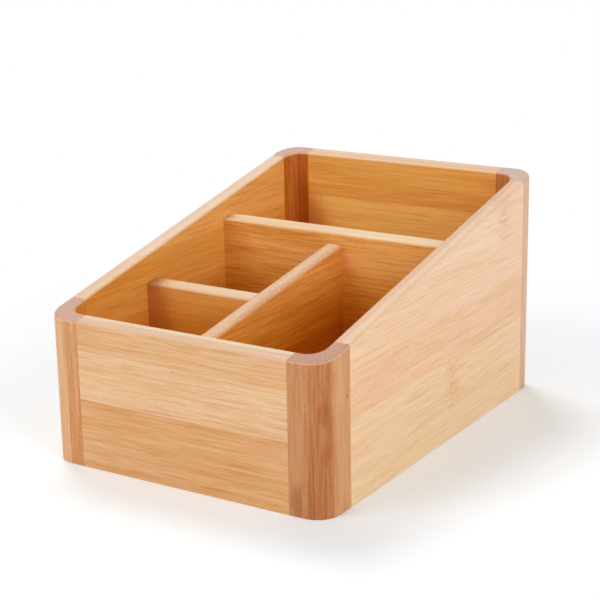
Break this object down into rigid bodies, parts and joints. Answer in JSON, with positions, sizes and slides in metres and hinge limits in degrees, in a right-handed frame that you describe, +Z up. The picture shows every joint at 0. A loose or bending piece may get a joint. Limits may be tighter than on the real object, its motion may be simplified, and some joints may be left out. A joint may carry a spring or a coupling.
{
  "type": "makeup organizer box",
  "caption": "Open desktop makeup organizer of light bamboo boards: a box with a rim that slopes down to the front, darker rounded corner posts and dividers that form unequal compartments.",
  "frame": {"origin": "on the surface the box stands on, under the middle of the box", "axes": "+X to the right seen from the low front, +Y from the low front to the high rear along the box's length, +Z up"},
  "size_m": [0.175, 0.2426, 0.1322],
  "materials": {
    "board_bamboo": "light laminated bamboo, satin lacquer, grain along the board",
    "post_bamboo": "caramel laminated bamboo, satin lacquer, upright grain",
    "divider_bamboo": "light laminated bamboo, satin lacquer, grain along the board",
    "base_bamboo": "laminated bamboo, satin lacquer, grain along the box",
    "dowel_wood": "plain turned wood"
  },
  "bodies": {
    "root": {"front_left_post": "post_bamboo", "front_right_post": "post_bamboo", "rear_left_post": "post_bamboo", "rear_right_post": "post_bamboo", "front_panel": "board_bamboo", "back_panel": "board_bamboo", "left_side_panel": "board_bamboo", "right_side_panel": "board_bamboo", "base_panel": "base_bamboo", "cross_divider": "divider_bamboo", "short_divider": "divider_bamboo", "long_divider": "divider_bamboo", "frame_dowels": "dowel_wood", "divider_dowels": "dowel_wood"}
  },
  "joints": []
}
